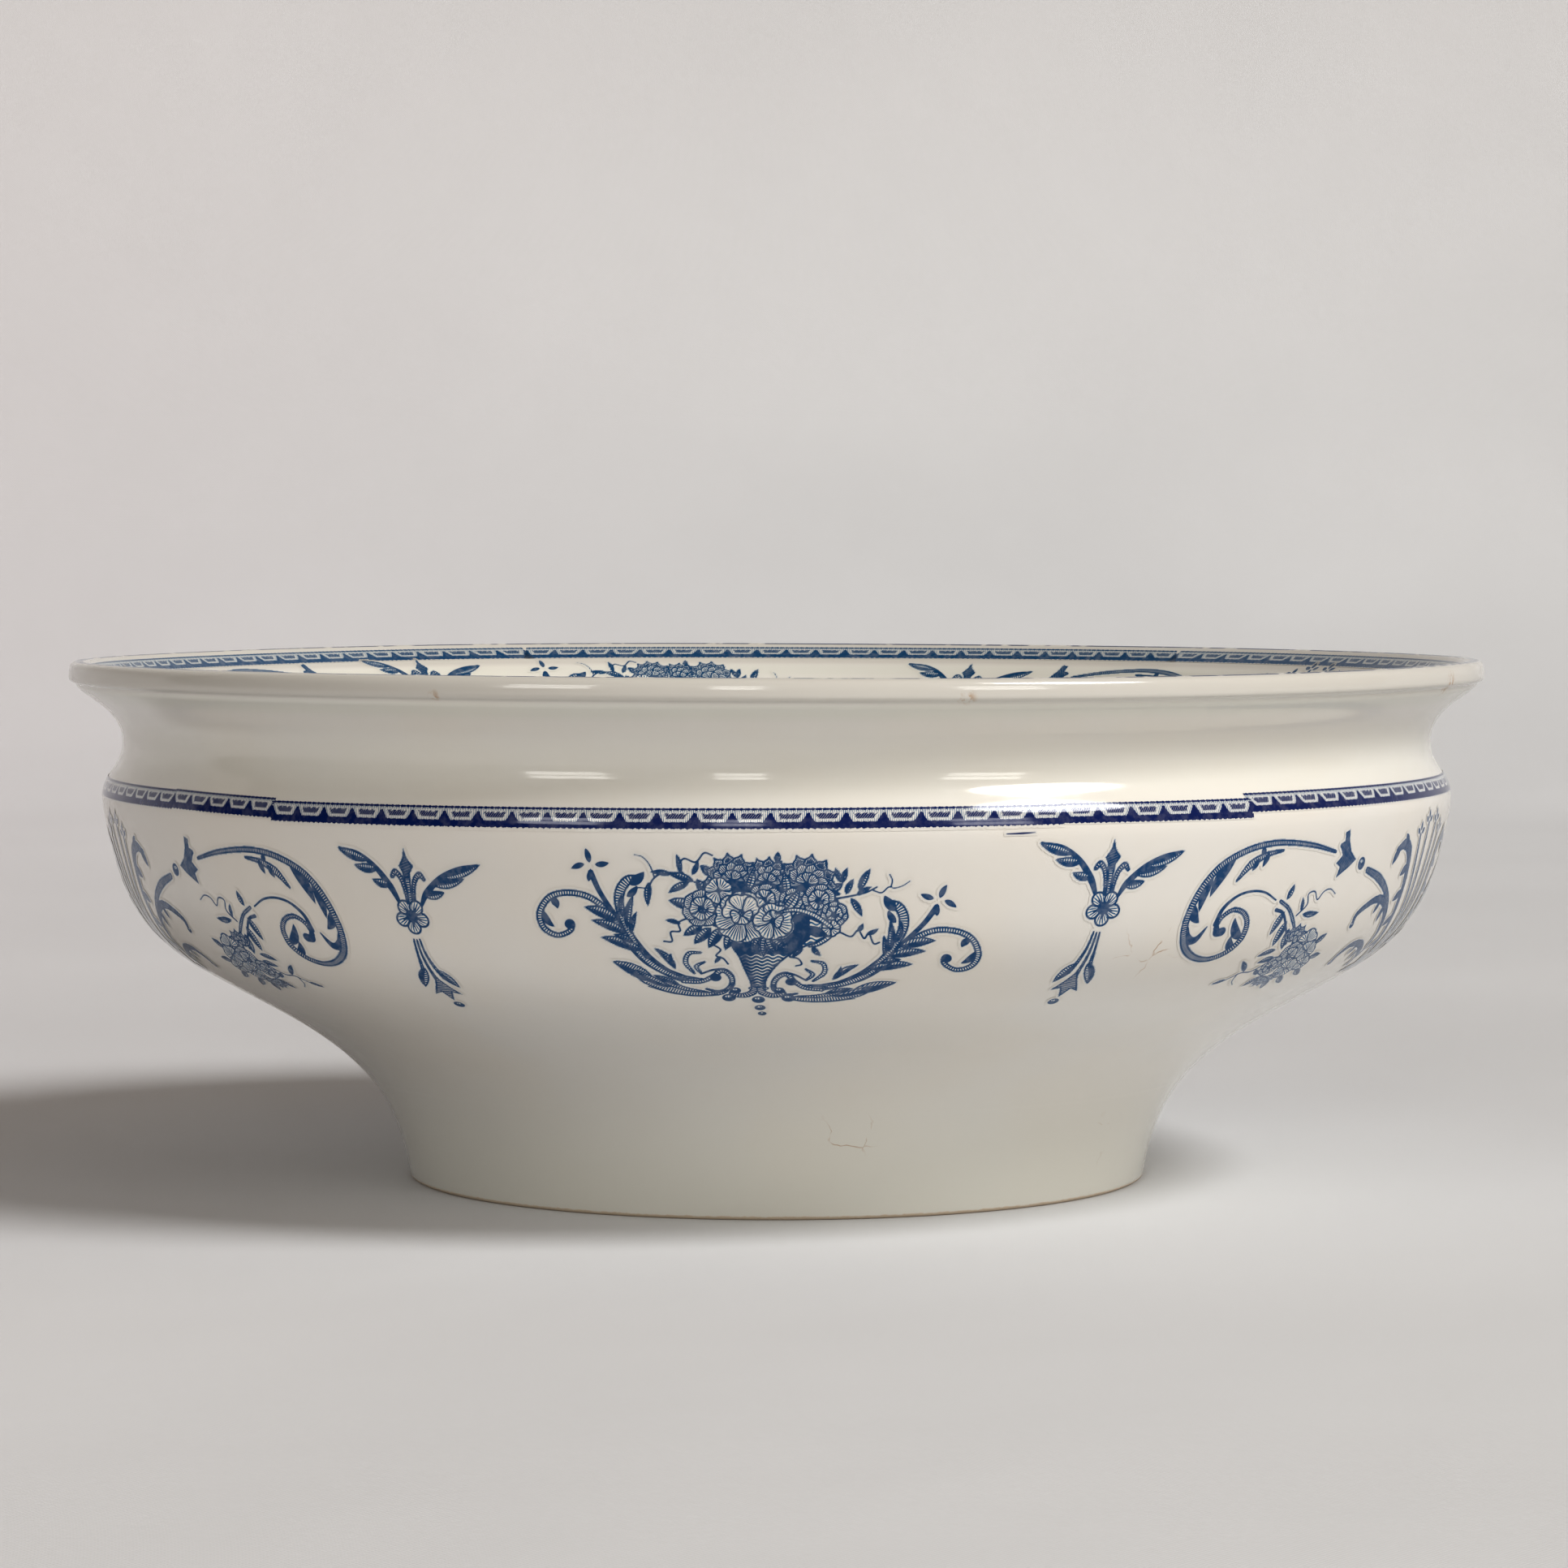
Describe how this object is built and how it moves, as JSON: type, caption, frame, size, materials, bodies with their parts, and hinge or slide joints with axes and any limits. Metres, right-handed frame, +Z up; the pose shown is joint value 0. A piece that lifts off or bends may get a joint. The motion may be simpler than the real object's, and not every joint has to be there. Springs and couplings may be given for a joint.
{
  "type": "serving bowl",
  "caption": "Round footed serving bowl in glazed ceramic with a flared rolled rim, rounded belly, pedestal foot and blue transfer-printed border and scroll motifs.",
  "frame": {"origin": "centre of the foot ring's standing face, on the table", "axes": "+Z up along the axis that the bowl was turned about; -Y is the front, where the first cornucopia faces"},
  "size_m": [0.27, 0.27, 0.0993],
  "materials": {
    "ivory_glaze": "glossy ivory-white lead glaze with fine crazing and specks",
    "bare_clay": "fired slip, matt",
    "blue_print": "cobalt blue print under the glaze, glossy"
  },
  "bodies": {
    "root": {"bowl": "ivory_glaze", "foot_ring": "ivory_glaze", "slip_joint": "bare_clay", "outer_border_strip_1": "blue_print", "outer_border_strip_2": "blue_print", "outer_border_strip_3": "blue_print", "outer_border_strip_4": "blue_print", "outer_border_strip_5": "blue_print", "outer_border_strip_6": "blue_print", "outer_border_strip_7": "blue_print", "inner_border_strip_1": "blue_print", "inner_border_strip_2": "blue_print", "inner_border_strip_3": "blue_print", "inner_border_strip_4": "blue_print", "inner_border_strip_5": "blue_print", "inner_border_strip_6": "blue_print", "outer_cornucopia_print_1": "blue_print", "outer_cornucopia_print_2": "blue_print", "outer_cornucopia_print_3": "blue_print", "outer_spray_print_1": "blue_print", "outer_spray_print_2": "blue_print", "outer_spray_print_3": "blue_print", "outer_spray_print_4": "blue_print", "outer_spray_print_5": "blue_print", "outer_spray_print_6": "blue_print", "outer_scroll_print_1": "blue_print", "outer_scroll_print_2": "blue_print", "outer_scroll_print_3": "blue_print", "outer_scroll_print_4": "blue_print", "outer_fan_print_1": "blue_print", "outer_fan_print_2": "blue_print", "inner_cornucopia_print_1": "blue_print", "inner_cornucopia_print_2": "blue_print", "inner_cornucopia_print_3": "blue_print", "inner_spray_print_1": "blue_print", "inner_spray_print_2": "blue_print", "inner_spray_print_3": "blue_print", "inner_spray_print_4": "blue_print", "inner_spray_print_5": "blue_print", "inner_spray_print_6": "blue_print", "inner_scroll_print_1": "blue_print", "inner_scroll_print_2": "blue_print", "inner_scroll_print_3": "blue_print", "inner_scroll_print_4": "blue_print", "inner_fan_print_1": "blue_print", "inner_fan_print_2": "blue_print"}
  },
  "joints": []
}
